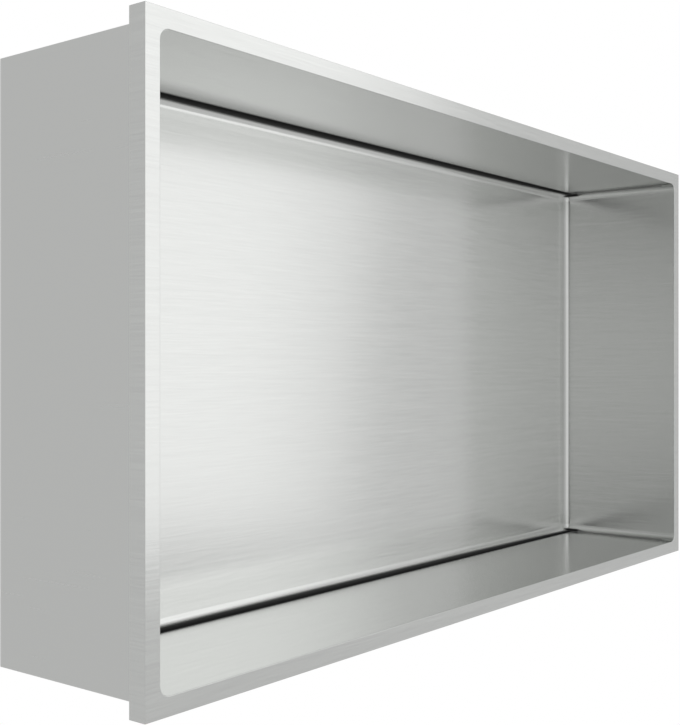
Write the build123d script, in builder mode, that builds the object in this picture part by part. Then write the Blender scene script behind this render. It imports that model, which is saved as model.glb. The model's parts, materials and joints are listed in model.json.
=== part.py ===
"""Shower niche insert: a brushed stainless steel box that is set into a wall, open at the front.

One welded piece: a lining with rounded inside corners, a flat frame round its mouth, a lip behind the
frame that seats on the wall, and a plain closed casing behind the lip. Millimetres, +Z up, the mouth
facing -Y and the casing running along +Y into the wall. The origin is the centre of the wall seat.
"""

import os

from build123d import *

# Lining: the space inside, measured between the flat walls and from the front face to the back wall
opening_width = 24 * IN
opening_height = 12 * IN
niche_depth = 4 * IN
lining_radius = 6.0

# Walls: from the lining to the outside of the casing, closed double skins
side_wall = 3.6
back_wall = 12.0

# Frame and lip: the lip stands out past the casing and takes up the thickness of the tiles
lip_overhang = 5.9
lip_depth = 10.4

# Edges: the eased inner edge of the frame, and the tight outer folds of frame and casing
rim_radius = 0.3
fold_radius = 0.2

casing_width = opening_width + 2 * side_wall
casing_height = opening_height + 2 * side_wall
casing_depth = niche_depth + back_wall - lip_depth
frame_width = casing_width + 2 * lip_overhang
frame_height = casing_height + 2 * lip_overhang

# Both planes look into the wall, so a positive amount runs from the room towards the back
wall_seat = Plane(origin=(0, 0, 0), x_dir=(1, 0, 0), z_dir=(0, 1, 0))
front_face = wall_seat.offset(-lip_depth)

with BuildPart() as niche_box:
    with BuildSketch(wall_seat):
        Rectangle(casing_width, casing_height)
    extrude(amount=casing_depth)
    casing_sides = niche_box.edges().filter_by(Axis.Y)
    casing_back = niche_box.faces().sort_by(Axis.Y)[-1].edges()
    fillet(casing_sides + casing_back, radius=fold_radius)

    with BuildSketch(front_face):
        Rectangle(frame_width, frame_height)
    extrude(amount=lip_depth)
    lip_corners = niche_box.edges(Select.LAST).filter_by(Axis.Y).sort_by(SortBy.DISTANCE)[-4:]
    lip_front = niche_box.faces().sort_by(Axis.Y)[0].edges()
    fillet(lip_corners + lip_front, radius=fold_radius)

    with BuildSketch(front_face):
        Rectangle(opening_width, opening_height)
    extrude(amount=niche_depth, mode=Mode.SUBTRACT)
    lining_sides, lining_back = niche_box.edges(Select.LAST).group_by(Axis.Y)[1:]
    fillet(lining_sides + lining_back, radius=lining_radius)

    frame_face = niche_box.faces().sort_by(Axis.Y)[0]
    fillet(frame_face.inner_wires()[0].edges(), radius=rim_radius)

niche_box.part.label = "niche_box"

os.makedirs("parts", exist_ok=True)
export_step(niche_box.part, "parts/niche_box.step")

print("frame", frame_width, "x", frame_height, "mm, depth", lip_depth + casing_depth, "mm")
print("casing", casing_width, "x", casing_height, "mm, volume", round(niche_box.part.volume), "mm3")
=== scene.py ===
import json
import math

import bmesh
import bpy
from mathutils import Matrix, Vector


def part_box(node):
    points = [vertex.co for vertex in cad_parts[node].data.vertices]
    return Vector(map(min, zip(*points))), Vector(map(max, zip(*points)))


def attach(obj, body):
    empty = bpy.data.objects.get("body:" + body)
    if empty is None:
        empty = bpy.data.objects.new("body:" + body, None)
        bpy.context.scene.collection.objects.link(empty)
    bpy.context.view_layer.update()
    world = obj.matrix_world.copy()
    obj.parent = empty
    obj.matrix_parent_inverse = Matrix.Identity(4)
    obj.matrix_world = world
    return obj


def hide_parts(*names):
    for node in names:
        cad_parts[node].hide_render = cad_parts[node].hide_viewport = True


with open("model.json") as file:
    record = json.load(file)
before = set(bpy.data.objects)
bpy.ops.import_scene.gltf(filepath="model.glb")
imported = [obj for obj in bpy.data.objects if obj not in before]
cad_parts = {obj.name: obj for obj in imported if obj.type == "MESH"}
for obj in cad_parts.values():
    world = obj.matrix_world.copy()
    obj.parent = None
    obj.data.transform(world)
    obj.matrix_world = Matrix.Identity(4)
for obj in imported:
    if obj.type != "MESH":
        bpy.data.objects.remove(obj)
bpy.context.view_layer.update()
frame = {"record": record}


# small helpers for node trees

def feed(tree, socket, value):
    if isinstance(value, bpy.types.NodeSocket):
        tree.links.new(value, socket)
    elif value is not None:
        socket.default_value = value


def addNode(tree, kind, inputs=None, **settings):
    node = tree.nodes.new(kind)
    for name, value in settings.items():
        setattr(node, name, value)
    for name, value in (inputs or {}).items():
        feed(tree, node.inputs[name], value)
    return node


def calc(tree, operation, *values):
    node = addNode(tree, "ShaderNodeMath", operation=operation)
    for socket, value in zip(node.inputs, values):
        feed(tree, socket, value)
    return node.outputs[0]


def vectorCalc(tree, operation, *values):
    node = addNode(tree, "ShaderNodeVectorMath", operation=operation)
    for socket, value in zip(node.inputs, values):
        feed(tree, socket, value)
    return node.outputs


def split(tree, vector):
    return addNode(tree, "ShaderNodeSeparateXYZ", {0: vector}).outputs


# niche box: one profile lofted round the opening, the same sizes as the CAD solid

boxLow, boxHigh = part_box("niche_box")
floorHeight = next(m["pos_m"][2] for m in frame["record"]["mounts"] if m["name"] == "niche_floor")
nicheBox = {
    "openingHeight": -2 * floorHeight,
    "barWidth": boxHigh.z + floorHeight,     # front bar of the frame
    "nicheDepth": 0.1016,                    # front face to the inner back wall
    "sideWall": 0.0036,
    "liningRadius": 0.006,
    "rimRadius": 0.0003,
    "foldRadius": 0.0002,
    "cornerSegments": 16,
    "edgeSegments": 6,
    "supportShare": 0.06,                    # loops beside each bend keep the flats flat
    "mergeDistance": 5e-7,
    "sharpAngle": 40,
}
nicheBox["openingWidth"] = 2 * (boxHigh.x - nicheBox["barWidth"])


def bend(centreReach, centreDepth, radius, start, end, cornerAtZero, segments):
    # quarter round in the profile; each point carries its ring's corner radius
    points = []
    for step in range(segments + 1):
        angle = math.radians(start + (end - start) * step / segments)
        reach = centreReach + radius * math.cos(angle)
        points.append((reach, centreDepth + radius * math.sin(angle), cornerAtZero + reach))
    return points


def nicheProfile(s):
    # points are (reach past the opening, depth, corner radius), from the inner back wall to the outer back
    front, back = boxLow.y, boxHigh.y
    innerBack = front + s["nicheDepth"]
    inner, rim, fold = s["liningRadius"], s["rimRadius"], s["foldRadius"]
    bar, wall, segments = s["barWidth"], s["sideWall"], s["edgeSegments"]
    middle = -s["openingHeight"] / 2
    innerGap, rimGap, foldGap = (s["supportShare"] * size for size in (inner, rim, fold))

    rows = [(middle, innerBack, 0), (-inner - innerGap, innerBack, 0)]
    rows += bend(-inner, innerBack - inner, inner, 90, 0, inner, s["cornerSegments"])
    rows += [(0, innerBack - inner - innerGap, inner), (0, front + rim + rimGap, inner)]
    rows += bend(rim, front + rim, rim, 180, 270, inner, segments)
    rows += [(rim + rimGap, front, inner + rim + rimGap), (bar - fold - foldGap, front, 0)]
    rows += bend(bar - fold, front + fold, fold, -90, 0, fold - bar, segments)
    rows += [(bar, front + fold + foldGap, fold), (bar, 0, fold), (wall, 0, fold)]
    rows += [(wall, back - fold - foldGap, fold)]
    rows += bend(wall - fold, back - fold, fold, 0, 90, fold - wall, segments)
    rows += [(wall - fold - foldGap, back, 0), (middle, back, 0)]
    return rows


def loftTree():
    tree = bpy.data.node_groups.new("loftRoundOpening", "GeometryNodeTree")
    for name, kind in (("Profile", "NodeSocketGeometry"), ("Opening Width", "NodeSocketFloat"),
                       ("Opening Height", "NodeSocketFloat"), ("Corner Segments", "NodeSocketInt"),
                       ("Support Share", "NodeSocketFloat"), ("Merge Distance", "NodeSocketFloat"),
                       ("Brushed Steel", "NodeSocketMaterial"), ("Plain Steel", "NodeSocketMaterial")):
        tree.interface.new_socket(name, in_out="INPUT", socket_type=kind)
    tree.interface.new_socket("Mesh", in_out="OUTPUT", socket_type="NodeSocketGeometry")
    given = addNode(tree, "NodeGroupInput").outputs

    # grid of rings (profile rows) and columns (four corners, a support loop on each side of the arc)
    corners, supportLoops, half, quarter = 4, 2, 0.5, math.pi / 2
    size = addNode(tree, "GeometryNodeAttributeDomainSize", {"Geometry": given["Profile"]})
    rows = size.outputs["Point Count"]
    perCorner = calc(tree, "ADD", given["Corner Segments"], 1 + supportLoops)
    columns = calc(tree, "MULTIPLY_ADD", perCorner, corners, 1)
    grid = addNode(tree, "GeometryNodeMeshGrid", {"Vertices X": columns, "Vertices Y": rows})
    index = addNode(tree, "GeometryNodeInputIndex").outputs[0]
    row = calc(tree, "FLOORED_MODULO", index, rows)
    column = calc(tree, "FLOOR", calc(tree, "DIVIDE", calc(tree, "ADD", index, half), rows))
    corner = calc(tree, "FLOOR", calc(tree, "DIVIDE", calc(tree, "ADD", column, half), perCorner))
    fromFirst = calc(tree, "SUBTRACT", column, calc(tree, "MULTIPLY", corner, perCorner))
    step = calc(tree, "SUBTRACT", fromFirst, 1)
    onArc = calc(tree, "MAXIMUM", calc(tree, "MINIMUM", step, given["Corner Segments"]), 0)
    slide = calc(tree, "SUBTRACT", step, onArc)
    turned = calc(tree, "DIVIDE", onArc, given["Corner Segments"])
    angle = calc(tree, "MULTIPLY", calc(tree, "ADD", corner, turned), quarter)
    towards = calc(tree, "MULTIPLY", calc(tree, "ADD", corner, half), quarter)

    # each ring reads its reach, depth and corner radius from the profile
    place = addNode(tree, "GeometryNodeSampleIndex", {"Geometry": given["Profile"], "Index": row},
                    data_type="FLOAT_VECTOR", domain="POINT")
    feed(tree, place.inputs["Value"], addNode(tree, "GeometryNodeInputPosition").outputs[0])
    reach, depth, radius = split(tree, place.outputs["Value"])
    shift = calc(tree, "MULTIPLY", calc(tree, "MULTIPLY", slide, given["Support Share"]), radius)
    inset = calc(tree, "SUBTRACT", reach, radius)
    cosine, sine = calc(tree, "COSINE", angle), calc(tree, "SINE", angle)

    def across(size, side, along, alongShift):
        fromMiddle = calc(tree, "ADD", calc(tree, "DIVIDE", size, 2), inset)
        centre = calc(tree, "MULTIPLY", calc(tree, "SIGN", side), fromMiddle)
        onRound = calc(tree, "MULTIPLY", radius, along)
        besideRound = calc(tree, "MULTIPLY", shift, alongShift)
        return calc(tree, "ADD", centre, calc(tree, "ADD", onRound, besideRound))

    backwards = calc(tree, "MULTIPLY", sine, -1)
    x = across(given["Opening Width"], calc(tree, "COSINE", towards), cosine, backwards)
    z = across(given["Opening Height"], calc(tree, "SINE", towards), sine, cosine)
    spot = addNode(tree, "ShaderNodeCombineXYZ", {"X": x, "Y": depth, "Z": z}).outputs[0]
    placed = addNode(tree, "GeometryNodeSetPosition", {"Geometry": grid.outputs["Mesh"], "Position": spot})
    closed = addNode(tree, "GeometryNodeMergeByDistance",
                     {"Geometry": placed.outputs[0], "Distance": given["Merge Distance"]})
    outwards = addNode(tree, "GeometryNodeFlipFaces", {"Mesh": closed.outputs[0]})
    smooth = addNode(tree, "GeometryNodeSetShadeSmooth", {"Geometry": outwards.outputs[0]})

    # brush map in metres: U runs along the grain, level on every upright wall
    mostly = 0.7                             # share of a normal along an axis that counts as facing it
    normal = addNode(tree, "GeometryNodeFieldOnDomain", domain="FACE", data_type="FLOAT_VECTOR")
    feed(tree, normal.inputs[0], addNode(tree, "GeometryNodeInputNormal").outputs[0])
    normalX, _, normalZ = split(tree, normal.outputs[0])
    here = addNode(tree, "GeometryNodeInputPosition").outputs[0]
    hereX, hereY, hereZ = split(tree, here)
    sideways = calc(tree, "GREATER_THAN", calc(tree, "ABSOLUTE", normalX), mostly)
    level = calc(tree, "GREATER_THAN", calc(tree, "ABSOLUTE", normalZ), mostly)
    grainU = addNode(tree, "ShaderNodeMix", {"Factor": sideways, "A": hereX, "B": hereY}).outputs[0]
    grainV = addNode(tree, "ShaderNodeMix", {"Factor": level, "A": hereZ, "B": hereY}).outputs[0]
    grain = addNode(tree, "ShaderNodeCombineXYZ", {"X": grainU, "Y": grainV}).outputs[0]
    mapped = addNode(tree, "GeometryNodeStoreNamedAttribute",
                     {"Geometry": smooth.outputs[0], "Name": "grain", "Value": grain},
                     data_type="FLOAT2", domain="CORNER")

    # brushed everywhere that shows, plain mill finish on the casing behind the wall seat
    seatMargin = 1e-5
    behind = calc(tree, "GREATER_THAN", hereY, seatMargin)
    facing = vectorCalc(tree, "DOT_PRODUCT", normal.outputs[0], here)["Value"]
    outside = calc(tree, "GREATER_THAN", facing, 0)
    hidden = addNode(tree, "FunctionNodeBooleanMath", {0: behind, 1: outside}, operation="AND").outputs[0]
    whole = addNode(tree, "GeometryNodeRealizeInstances", {"Geometry": mapped.outputs[0]})
    brushed = addNode(tree, "GeometryNodeSetMaterial",
                      {"Geometry": whole.outputs[0], "Material": given["Brushed Steel"]})
    both = addNode(tree, "GeometryNodeSetMaterial",
                   {"Geometry": brushed.outputs[0], "Selection": hidden, "Material": given["Plain Steel"]})
    feed(tree, addNode(tree, "NodeGroupOutput").inputs["Mesh"], both.outputs[0])
    return tree


def setInputs(modifier, values):
    for item in modifier.node_group.interface.items_tree:
        if item.in_out == "INPUT" and item.name in values:
            modifier[item.identifier] = values[item.name]


def makeNicheBox(s, brushedSteel, plainSteel):
    rows = nicheProfile(s)
    profile = bpy.data.meshes.new("nicheProfile")
    profile.from_pydata(rows, [(i, i + 1) for i in range(len(rows) - 1)], [])
    maker = bpy.data.objects.new("nicheMaker", profile)
    bpy.context.scene.collection.objects.link(maker)
    modifier = maker.modifiers.new("loft", "NODES")
    modifier.node_group = loftTree()
    setInputs(modifier, {"Opening Width": s["openingWidth"], "Opening Height": s["openingHeight"],
                         "Corner Segments": s["cornerSegments"], "Support Share": s["supportShare"],
                         "Merge Distance": s["mergeDistance"],
                         "Brushed Steel": brushedSteel, "Plain Steel": plainSteel})
    made = maker.evaluated_get(bpy.context.evaluated_depsgraph_get())
    mesh = bpy.data.meshes.new_from_object(made)
    maker.modifiers.remove(modifier)
    bpy.data.objects.remove(maker)
    mesh.name = "nicheInsert"
    mesh.set_sharp_from_angle(angle=math.radians(s["sharpAngle"]))
    piece = bpy.data.objects.new("nicheInsert", mesh)
    bpy.context.scene.collection.objects.link(piece)
    return piece


# finishes: brushed steel where it shows, mill finish on the casing; lengths in metres

# the brushed finish also holds the painted shade and the painted highlight of the niche's bends
brushedFinish = {
    "color": (0.775, 0.785, 0.77, 1),
    "edgeTint": (0.98, 0.98, 0.98, 1),
    "roughness": 0.19, "roughSpread": 0.06,
    "anisotropic": 0.3, "turn": 0.25,
    "toneSpread": 0.105,
    "lines": {"Length": 0.03, "Pitch": 0.0009},
    "lineDepth": 0.95e-5,
    "paintedShadeColor": (0.03, 0.03, 0.03, 1),      # painted shade: the upper and lower back bends are painted nearly black
    "paintedBendShade": {
        "Height": 0.00185, "Height Soft": 0.00075, "Reach": 0.0104, "Reach Soft": 0.0022,
        "Fade": 0.1,                         # share that is lost towards the back wall
        "End Length": 0.25, "End Thin": 0.63,
        "Corner Height": 0.0009, "Corner Soft": 0.0005, "Corner Width": 0.0055,
        "Corner Reach": 0.092, "Corner Share": 0.7,
        "Spot Reach": 0.0165, "Spot Soft": 0.0044, "Spot Rise": 1.4,
        "Tail Share": 0.13, "Tail Reach": 0.022, "Tail Soft": 0.01,
    },
    "paintedBendHighlight": {                           # painted highlight: a bright line along the upright back bends, in a band of painted shade
        "Lift": 0.15, "Drop": 0.12,
        "Place": 0.0012, "Width": 0.0007, "Soft": 0.0003, "Reach": 0.004,
        "Beside Width": 0.0125, "Beside Soft": 0.003,
    },
    "easeHeight": 0.00018,                   # the back wall eases into its upper and lower bends
    "bendEase": {"Place": 0.0072, "Soft": 0.0042, "Reach": 0.0042, "Reach Soft": 0.00336},
}
plainFinish = {
    "color": (0.775, 0.785, 0.77, 1),
    "edgeTint": (0.98, 0.98, 0.98, 1),
    "roughness": 0.28, "roughSpread": 0.02,
    "toneSpread": 0.006,
    "lines": {"Length": 0.09, "Pitch": 0.0016},
    "lineDepth": 1e-7,
}
brushNoise = {
    "layers": ((1, 0, 1.2), (3.1, 7.3, 0.8)),    # size, offset and weight of fine and coarse lines
    "detail": 2, "roughness": 0.6, "average": 0.5,
}
nicheSpan = {
    "Half Width": nicheBox["openingWidth"] / 2,
    "Half Height": nicheBox["openingHeight"] / 2,
    "Inner Back": boxLow.y + nicheBox["nicheDepth"],
}


def shaderGroup(name, inputs, output):
    tree = bpy.data.node_groups.new(name, "ShaderNodeTree")
    for label in inputs:
        tree.interface.new_socket(label, in_out="INPUT", socket_type="NodeSocketFloat")
    tree.interface.new_socket(output, in_out="OUTPUT", socket_type="NodeSocketFloat")
    return tree, addNode(tree, "NodeGroupInput").outputs, addNode(tree, "NodeGroupOutput").inputs[output]


def grainGroup(s):
    # brush lines along U of the grain map, about 0 with a spread of 0.2
    tree, given, result = shaderGroup("brushGrain", brushedFinish["lines"], "Lines")
    along, across, _ = split(tree, addNode(tree, "ShaderNodeUVMap", uv_map="grain").outputs[0])
    lines = 0
    for size, offset, weight in s["layers"]:
        x = calc(tree, "DIVIDE", along, calc(tree, "MULTIPLY", given["Length"], size))
        y = calc(tree, "DIVIDE", across, calc(tree, "MULTIPLY", given["Pitch"], size))
        spot = addNode(tree, "ShaderNodeCombineXYZ", {"X": x, "Y": y, "Z": offset}).outputs[0]
        noise = addNode(tree, "ShaderNodeTexNoise", {"Vector": spot, "Scale": 1, "Detail": s["detail"],
                                                     "Roughness": s["roughness"]})
        swing = calc(tree, "SUBTRACT", noise.outputs["Fac"], s["average"])
        lines = calc(tree, "MULTIPLY_ADD", swing, weight, lines)
    feed(tree, result, lines)
    return tree


def within(tree, distance, limit, soft):
    # 1 below the limit, 0 above it, with a soft step
    fade = addNode(tree, "ShaderNodeMapRange", {
        "Value": distance, "From Min": calc(tree, "ADD", limit, soft),
        "From Max": calc(tree, "SUBTRACT", limit, soft)}, interpolation_type="SMOOTHSTEP")
    return fade.outputs["Result"]


def nicheDistances(tree, given):
    # distances from the upper or lower wall, a side wall and the back wall; in the niche; in its upper half
    insideMargin = 1e-4
    x, y, z = split(tree, addNode(tree, "ShaderNodeTexCoord").outputs["Object"])
    below = calc(tree, "SUBTRACT", given["Half Height"], calc(tree, "ABSOLUTE", z))
    aside = calc(tree, "SUBTRACT", given["Half Width"], calc(tree, "ABSOLUTE", x))
    ahead = calc(tree, "SUBTRACT", given["Inner Back"], y)
    nearest = calc(tree, "MINIMUM", calc(tree, "MINIMUM", below, aside), ahead)
    inside = calc(tree, "GREATER_THAN", nearest, -insideMargin)
    return below, aside, ahead, inside, calc(tree, "GREATER_THAN", z, 0)


def paintedShadeGroup():
    # painted shade: up to 1 in the upper and lower back bends and along the corners of the side walls, 0
    # elsewhere
    tree, given, result = shaderGroup("paintedBendShade", (*nicheSpan, *brushedFinish["paintedBendShade"]), "Shade")
    below, aside, ahead, inside, upper = nicheDistances(tree, given)

    # the line thins towards its ends and fades towards the back wall
    fromEnd = calc(tree, "DIVIDE", aside, given["End Length"])
    nearEnd = calc(tree, "MAXIMUM", calc(tree, "SUBTRACT", 1, fromEnd), 0)
    thin = calc(tree, "MULTIPLY", given["End Thin"], calc(tree, "MULTIPLY", nearEnd, nearEnd))
    height = calc(tree, "MULTIPLY", given["Height"], calc(tree, "SUBTRACT", 1, thin))
    line = calc(tree, "MULTIPLY", within(tree, below, height, given["Height Soft"]),
                within(tree, ahead, given["Reach"], given["Reach Soft"]))
    fade = calc(tree, "MULTIPLY", given["Fade"], calc(tree, "DIVIDE", below, given["Height"]))
    line = calc(tree, "MULTIPLY", line, calc(tree, "SUBTRACT", 1, fade))

    # a painted dark spot at its end leads into the painted corner line
    spot = within(tree, ahead, given["Spot Reach"], given["Spot Soft"])
    share = calc(tree, "MULTIPLY", within(tree, ahead, given["Corner Reach"], given["Reach Soft"]),
                 given["Corner Share"])
    taller = calc(tree, "ADD", 1, calc(tree, "MULTIPLY", spot, given["Spot Rise"]))
    height = calc(tree, "MULTIPLY", given["Corner Height"], taller)
    corner = calc(tree, "MULTIPLY", within(tree, aside, given["Corner Width"], given["Reach Soft"]),
                  within(tree, below, height, given["Corner Soft"]))
    corner = calc(tree, "MULTIPLY", corner, calc(tree, "MAXIMUM", share, spot))

    # painted soft shade on the top wall that leads into the line
    tail = calc(tree, "MULTIPLY", within(tree, ahead, given["Tail Reach"], given["Tail Soft"]),
                within(tree, below, given["Height"], given["Height Soft"]))
    tail = calc(tree, "MULTIPLY", tail, calc(tree, "MULTIPLY", upper, given["Tail Share"]))
    shade = calc(tree, "MAXIMUM", calc(tree, "MAXIMUM", line, corner), tail)
    feed(tree, result, calc(tree, "MULTIPLY", shade, inside))
    return tree


def paintedHighlightGroup():
    # gain on the colour: a painted highlight along the middle of the upright back bends, painted shade
    # beside it, 1 elsewhere
    tree, given, result = shaderGroup("paintedBendHighlight", (*nicheSpan, *brushedFinish["paintedBendHighlight"]), "Gain")
    _, aside, ahead, inside, _ = nicheDistances(tree, given)
    away = calc(tree, "ABSOLUTE", calc(tree, "SUBTRACT", aside, given["Place"]))
    near = calc(tree, "MULTIPLY", within(tree, ahead, given["Reach"], given["Soft"]), inside)
    line = within(tree, away, given["Width"], given["Soft"])
    beside = calc(tree, "MULTIPLY", within(tree, aside, given["Beside Width"], given["Beside Soft"]),
                  calc(tree, "SUBTRACT", 1, line))
    change = calc(tree, "SUBTRACT", calc(tree, "MULTIPLY", line, given["Lift"]),
                  calc(tree, "MULTIPLY", beside, given["Drop"]))
    feed(tree, result, calc(tree, "ADD", calc(tree, "MULTIPLY", change, near), 1))
    return tree


def easeGroup():
    # 1 above and below the flat part of the back wall, 0 on it, with a slow rise between
    tree, given, result = shaderGroup("bendEase", (*nicheSpan, *brushedFinish["bendEase"]), "Rise")
    below, aside, ahead, inside, _ = nicheDistances(tree, given)
    rise = within(tree, below, given["Place"], given["Soft"])
    back = calc(tree, "MULTIPLY", within(tree, ahead, given["Reach"], given["Reach Soft"]), inside)
    middle = calc(tree, "SUBTRACT", 1, within(tree, aside, given["Place"], given["Soft"]))
    feed(tree, result, calc(tree, "MULTIPLY", calc(tree, "MULTIPLY", rise, back), middle))
    return tree


brushGrain = grainGroup(brushNoise)
bendEase = easeGroup()
paintedBendShade = paintedShadeGroup()
paintedBendHighlight = paintedHighlightGroup()


def placeGroup(tree, group, values):
    return addNode(tree, "ShaderNodeGroup", values, node_tree=group).outputs[0]


mixPlaces = {"factor": 0, "first": 6, "second": 7, "result": 2}    # a Mix node's colour sockets


def mixColor(tree, factor, first, second, blend="MIX"):
    node = addNode(tree, "ShaderNodeMix", data_type="RGBA", blend_type=blend)
    for name, value in (("factor", factor), ("first", first), ("second", second)):
        feed(tree, node.inputs[mixPlaces[name]], value)
    return node.outputs[mixPlaces["result"]]


def steel(name, s):
    material = bpy.data.materials.new(name)
    material.use_nodes = True
    tree = material.node_tree
    shader = tree.nodes["Principled BSDF"]
    shader.inputs["Metallic"].default_value = 1
    shader.inputs["Specular Tint"].default_value = s["edgeTint"]
    lines = placeGroup(tree, brushGrain, s["lines"])
    tone = calc(tree, "MULTIPLY_ADD", lines, s["toneSpread"], 1)
    color = mixColor(tree, 1, s["color"], tone, "MULTIPLY")
    rough = calc(tree, "MULTIPLY_ADD", lines, s["roughSpread"], s["roughness"])
    feed(tree, shader.inputs["Roughness"], rough)
    height = lines
    if "anisotropic" in s:
        shader.inputs["Anisotropic"].default_value = s["anisotropic"]
        shader.inputs["Anisotropic Rotation"].default_value = s["turn"]
        tangent = addNode(tree, "ShaderNodeTangent", direction_type="UV_MAP", uv_map="grain")
        feed(tree, shader.inputs["Tangent"], tangent.outputs[0])
    if "paintedBendShade" in s:
        ease = placeGroup(tree, bendEase, nicheSpan | s["bendEase"])
        height = calc(tree, "ADD", lines, calc(tree, "MULTIPLY", ease, s["easeHeight"] / s["lineDepth"]))
        # painted highlight on the upright back bends, with painted shade beside it
        gain = placeGroup(tree, paintedBendHighlight, nicheSpan | s["paintedBendHighlight"])
        color = mixColor(tree, 1, color, gain, "MULTIPLY")
        # painted shade in the bends: the colour goes towards near black and the metal turns matte there
        shade = placeGroup(tree, paintedBendShade, nicheSpan | s["paintedBendShade"])
        color = mixColor(tree, shade, color, s["paintedShadeColor"])
        feed(tree, shader.inputs["Metallic"], calc(tree, "SUBTRACT", 1, shade))
        shader.inputs["Specular IOR Level"].default_value = 0
    bump = addNode(tree, "ShaderNodeBump", {"Strength": 1, "Distance": s["lineDepth"], "Height": height})
    feed(tree, shader.inputs["Normal"], bump.outputs[0])
    feed(tree, shader.inputs["Base Color"], color)
    return material


insert = makeNicheBox(nicheBox, steel("brushedStainless", brushedFinish),
                      steel("plainStainless", plainFinish))
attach(insert, "root")
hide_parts("niche_box")
print("niche insert:", len(insert.data.vertices), "points,", len(insert.data.polygons), "faces")


# studio: white behind the object, grey walls round it, a large softbox and a smaller fill panel in front

studio = {
    "wallTone": 0.568,
    "wallRadius": 6.0,
    "wallDetail": 4,
    "capStart": 66, "capEnd": 71,            # degrees up and down where the walls turn dark
    "leftAzimuth": -75, "leftDim": 0.4,      # a dimmer band on the left, above and below eye level
    "leftSpread": (0.92, 0.985),             # cosines from its middle where it starts and is full
    "bandStart": (4, 9), "bandEnd": (16, 24),
    "backOpening": 12,       # degrees round the camera's line of sight that stay open to the white
    "ambient": 0.6,
    "floorDrop": 1.2,        # the insert is held at wall height
    "floorRadius": 1.8,
    "floorSegments": 96,
    "floorColor": (0.9, 0.9, 0.9, 1), "floorRoughness": 0.8,
    "floorLift": 0.25, "edgeLift": 0.25,     # the floor reads pale, and white towards its edge
    "fadeStart": 0.3, "fadeEnd": 0.95,       # shares of its radius
    "boxTone": 1.076, "topTone": 1.123, "edgeTone": 0.955, "sideTone": 0.608,
    "boxAzimuth": 35,        # from straight in front, towards the right
    "boxElevation": 15,
    "boxDistance": 2.0,
    "boxLeft": -0.75, "boxEdge": 0.57, "boxRight": 0.78, "boxSide": 1.25,
    "boxBottom": -1.045, "boxMiddle": 0.2, "boxTop": 0.9,
    "fillTone": 0.71, "fillEdgeTone": 0.64,
    "fillAzimuth": -48,      # on the left
    "fillLeft": -0.38, "fillEdge": -0.29, "fillRight": 0.38, "fillHeight": 0.62,
}
camera = {
    "azimuth": 50.397,       # line of sight, from +Y towards +X
    "position": (-0.6760, -0.3821),   # from the centre of the front face
    "focalPixels": 1167.94,
    "centrePixel": (287.75, 362.7),
    "imageSize": (680, 725),
    "sensor": 36,
    "clip": (0.01, 50),
}
white, flatten = (1, 1, 1, 1), (1, 1, 0)


def emitter(name, tone):
    material = bpy.data.materials.new(name)
    material.use_nodes = True
    tree = material.node_tree
    tree.nodes.remove(tree.nodes["Principled BSDF"])
    glow = addNode(tree, "ShaderNodeEmission", {"Color": white, "Strength": tone})
    feed(tree, tree.nodes["Material Output"].inputs["Surface"], glow.outputs[0])
    return material


def direction(azimuth, elevation):
    turn, lift = math.radians(azimuth), math.radians(elevation)
    return Vector((math.sin(turn) * math.cos(lift), -math.cos(turn) * math.cos(lift), math.sin(lift)))


def seenRay(tree):
    path = addNode(tree, "ShaderNodeLightPath").outputs
    return calc(tree, "MAXIMUM", calc(tree, "MAXIMUM", path["Is Camera Ray"], path["Is Glossy Ray"]),
                path["Is Transmission Ray"])


def ramp(tree, value, start, end, low, high):
    fade = addNode(tree, "ShaderNodeMapRange", {
        "Value": value, "From Min": start, "From Max": end, "To Min": low, "To Max": high},
        interpolation_type="SMOOTHSTEP")
    return fade.outputs[0]


def addStage(name, mesh, material, seen=True):
    mesh.materials.append(material)
    thing = bpy.data.objects.new(name, mesh)
    thing.visible_camera = seen
    bpy.context.scene.collection.objects.link(thing)
    return thing


def wallMaterial(s):
    material = emitter("greyWalls", s["wallTone"])
    tree = material.node_tree
    spot = addNode(tree, "ShaderNodeTexCoord").outputs["Object"]
    rise = calc(tree, "ABSOLUTE", split(tree, vectorCalc(tree, "NORMALIZE", spot)[0])[2])
    flat = vectorCalc(tree, "NORMALIZE", vectorCalc(tree, "MULTIPLY", spot, flatten)[0])[0]
    aside = vectorCalc(tree, "DOT_PRODUCT", flat, direction(s["leftAzimuth"], 0))["Value"]

    def rising(start, end, height):
        return ramp(tree, rise, math.sin(math.radians(start)), math.sin(math.radians(end)), 0, height)

    band = calc(tree, "SUBTRACT", rising(*s["bandStart"], s["leftDim"]), rising(*s["bandEnd"], s["leftDim"]))
    dim = calc(tree, "MULTIPLY", band, ramp(tree, aside, *s["leftSpread"], 0, 1))
    dim = calc(tree, "MAXIMUM", dim, rising(s["capStart"], s["capEnd"], 1))
    light = calc(tree, "MULTIPLY", calc(tree, "SUBTRACT", 1, dim), s["wallTone"])
    feed(tree, tree.nodes["Emission"].inputs["Strength"], light)
    return material


def makeWalls(s, view):
    sight = Vector((math.sin(math.radians(view["azimuth"])), math.cos(math.radians(view["azimuth"])), 0))
    walls = bmesh.new()
    bmesh.ops.create_icosphere(walls, subdivisions=s["wallDetail"], radius=s["wallRadius"])
    limit = math.radians(s["backOpening"])
    away = [face for face in walls.faces if face.calc_center_median().angle(sight) < limit]
    bmesh.ops.delete(walls, geom=away, context="FACES")
    mesh = bpy.data.meshes.new("studioWalls")
    walls.to_mesh(mesh)
    addStage("studioWalls", mesh, wallMaterial(s), seen=False)


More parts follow.
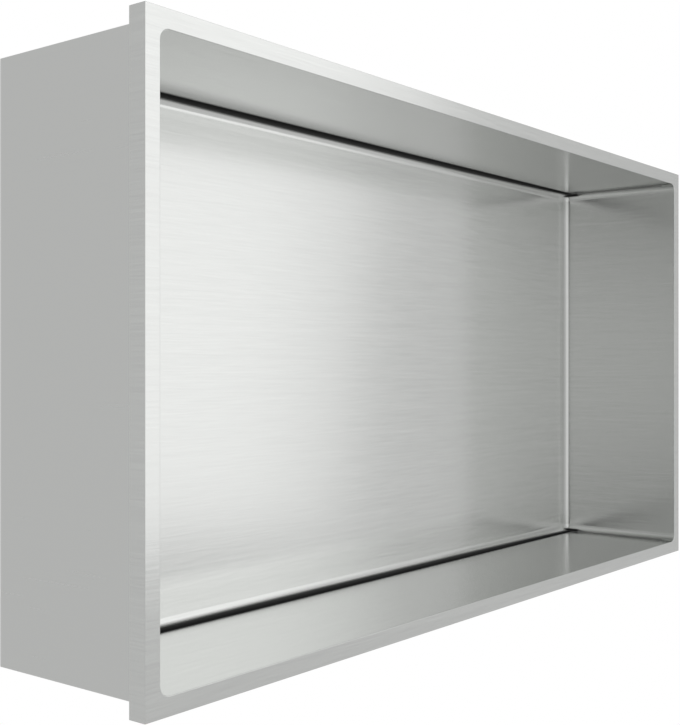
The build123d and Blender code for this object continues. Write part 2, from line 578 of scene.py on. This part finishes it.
def addPanel(name, azimuth, elevation, distance, sides, heights, tone):
    # flat glowing panel that faces the object; sides and heights are measured from its centre
    facing, right = direction(azimuth, elevation), direction(azimuth + 90, 0)
    up = facing.cross(right)
    centre = facing * distance + Vector((0, boxLow.y, 0))
    corners = [centre + right * sides[i] + up * heights[j] for i, j in ((0, 0), (1, 0), (1, 1), (0, 1))]
    mesh = bpy.data.meshes.new(name)
    mesh.from_pydata(corners, [], [(0, 1, 2, 3)])
    addStage(name, mesh, emitter(name, tone), seen=False)


def makePanels(s):
    softbox = s["boxAzimuth"], s["boxElevation"], s["boxDistance"]
    left, edge, right, side = s["boxLeft"], s["boxEdge"], s["boxRight"], s["boxSide"]
    bottom, middle, top = s["boxBottom"], s["boxMiddle"], s["boxTop"]
    addPanel("softbox", *softbox, (left, edge), (bottom, middle), s["boxTone"])
    addPanel("softboxTop", *softbox, (left, edge), (middle, top), s["topTone"])
    addPanel("softboxEdge", *softbox, (edge, right), (bottom, top), s["edgeTone"])
    addPanel("softboxSide", *softbox, (right, side), (bottom, top), s["sideTone"])
    fill = s["fillAzimuth"], 0, s["boxDistance"]
    heights = -s["fillHeight"], s["fillHeight"]
    addPanel("fillPanel", *fill, (s["fillEdge"], s["fillRight"]), heights, s["fillTone"])
    addPanel("fillEdge", *fill, (s["fillLeft"], s["fillEdge"]), heights, s["fillEdgeTone"])


def makeFloor(s):
    floor = bmesh.new()
    bmesh.ops.create_circle(floor, cap_ends=True, segments=s["floorSegments"], radius=s["floorRadius"],
                            matrix=Matrix.Translation((0, 0, -s["floorDrop"])))
    mesh = bpy.data.meshes.new("paleFloor")
    floor.to_mesh(mesh)
    pale = bpy.data.materials.new("paleFloor")
    pale.use_nodes = True
    tree = pale.node_tree
    shader = tree.nodes["Principled BSDF"]
    shader.inputs["Base Color"].default_value = s["floorColor"]
    shader.inputs["Roughness"].default_value = s["floorRoughness"]
    spot = addNode(tree, "ShaderNodeTexCoord").outputs["Object"]
    away = vectorCalc(tree, "LENGTH", vectorCalc(tree, "MULTIPLY", spot, flatten)[0])["Value"]
    lift = ramp(tree, away, s["fadeStart"] * s["floorRadius"], s["fadeEnd"] * s["floorRadius"],
                s["floorLift"], s["floorLift"] + s["edgeLift"])
    feed(tree, shader.inputs["Emission Color"], white)
    feed(tree, shader.inputs["Emission Strength"], calc(tree, "MULTIPLY", lift, seenRay(tree)))
    addStage("paleFloor", mesh, pale).visible_glossy = False


def makeWorld(s):
    world = bpy.data.worlds.new("studio")
    bpy.context.scene.world = world
    world.use_nodes = True
    tree = world.node_tree
    tree.nodes.clear()
    ambient = addNode(tree, "ShaderNodeBackground", {"Color": white, "Strength": s["ambient"]})
    backdrop = addNode(tree, "ShaderNodeBackground", {"Color": white, "Strength": 1})
    mix = addNode(tree, "ShaderNodeMixShader",
                  {0: seenRay(tree), 1: ambient.outputs[0], 2: backdrop.outputs[0]})
    feed(tree, addNode(tree, "ShaderNodeOutputWorld").inputs["Surface"], mix.outputs[0])


def makeCamera(s):
    data = bpy.data.cameras.new("camera")
    width, height = s["imageSize"]
    longSide = max(width, height)
    data.sensor_width = s["sensor"]
    data.lens = s["focalPixels"] * s["sensor"] / longSide
    data.shift_x = (width / 2 - s["centrePixel"][0]) / longSide
    data.shift_y = (s["centrePixel"][1] - height / 2) / longSide
    data.clip_start, data.clip_end = s["clip"]
    eye = bpy.data.objects.new("camera", data)
    eye.location = (s["position"][0], boxLow.y + s["position"][1], 0)
    eye.rotation_euler = (math.radians(90), 0, -math.radians(s["azimuth"]))
    bpy.context.scene.collection.objects.link(eye)
    bpy.context.scene.camera = eye


makeWalls(studio, camera)
makePanels(studio)
makeFloor(studio)
makeWorld(studio)
makeCamera(camera)
bpy.context.scene.view_settings.view_transform = "Standard"
print("studio and camera in place")
